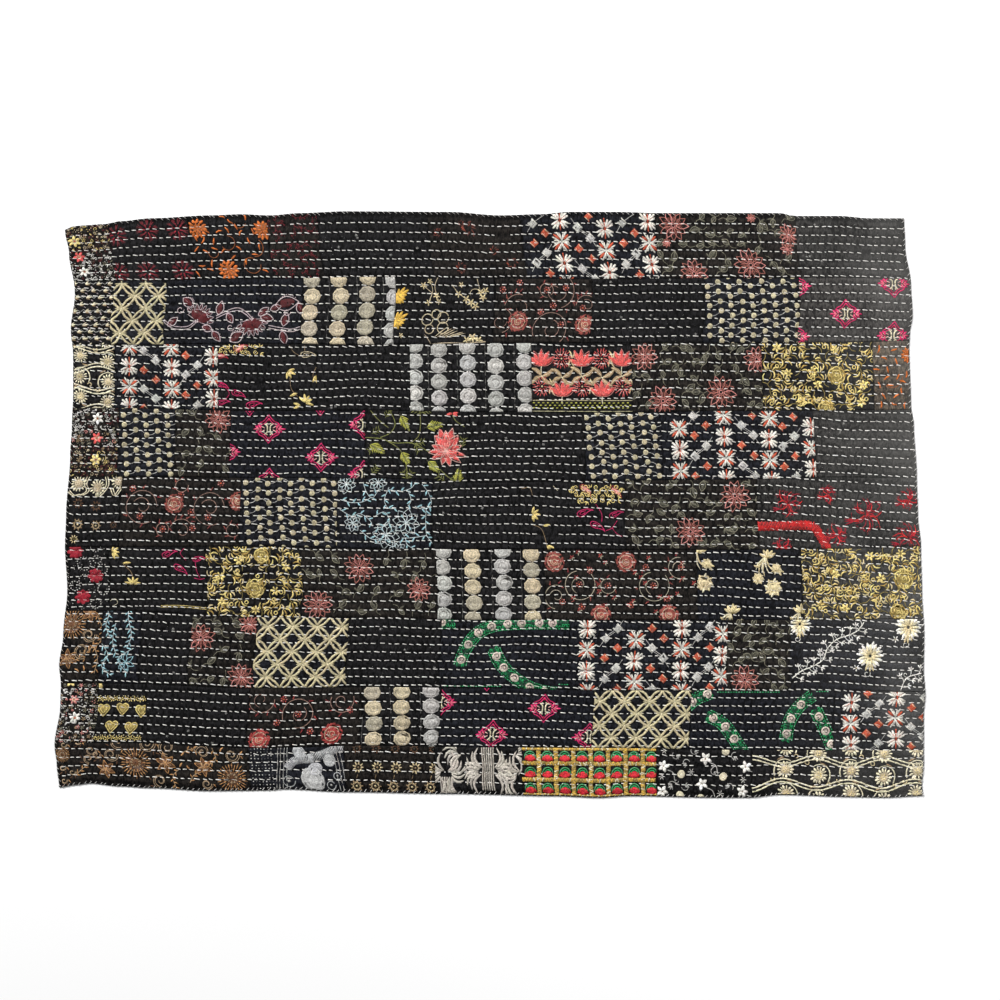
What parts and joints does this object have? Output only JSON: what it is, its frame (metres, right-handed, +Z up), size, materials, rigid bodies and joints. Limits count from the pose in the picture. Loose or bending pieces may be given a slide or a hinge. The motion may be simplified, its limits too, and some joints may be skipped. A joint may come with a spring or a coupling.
{
  "type": "kantha quilt",
  "caption": "Hand-quilted patchwork throw of thin layered cotton, laid flat, with long rows of running stitch, wandering seams and a rolled edge.",
  "frame": {"origin": "centre of the quilt's footprint, on the surface it lies on", "axes": "+X along the quilt and its quilting rows, +Y across the strips towards the first strip, +Z up out of the embroidered face"},
  "size_m": [1.5, 1.01, 0.0036],
  "materials": {
    "quilt_cloth": "soft black and charcoal cotton, patched and embroidered",
    "cotton_thread": "off-white cotton quilting thread with a slight twist"
  },
  "bodies": {
    "root": {"quilt": "quilt_cloth"}
  },
  "joints": []
}
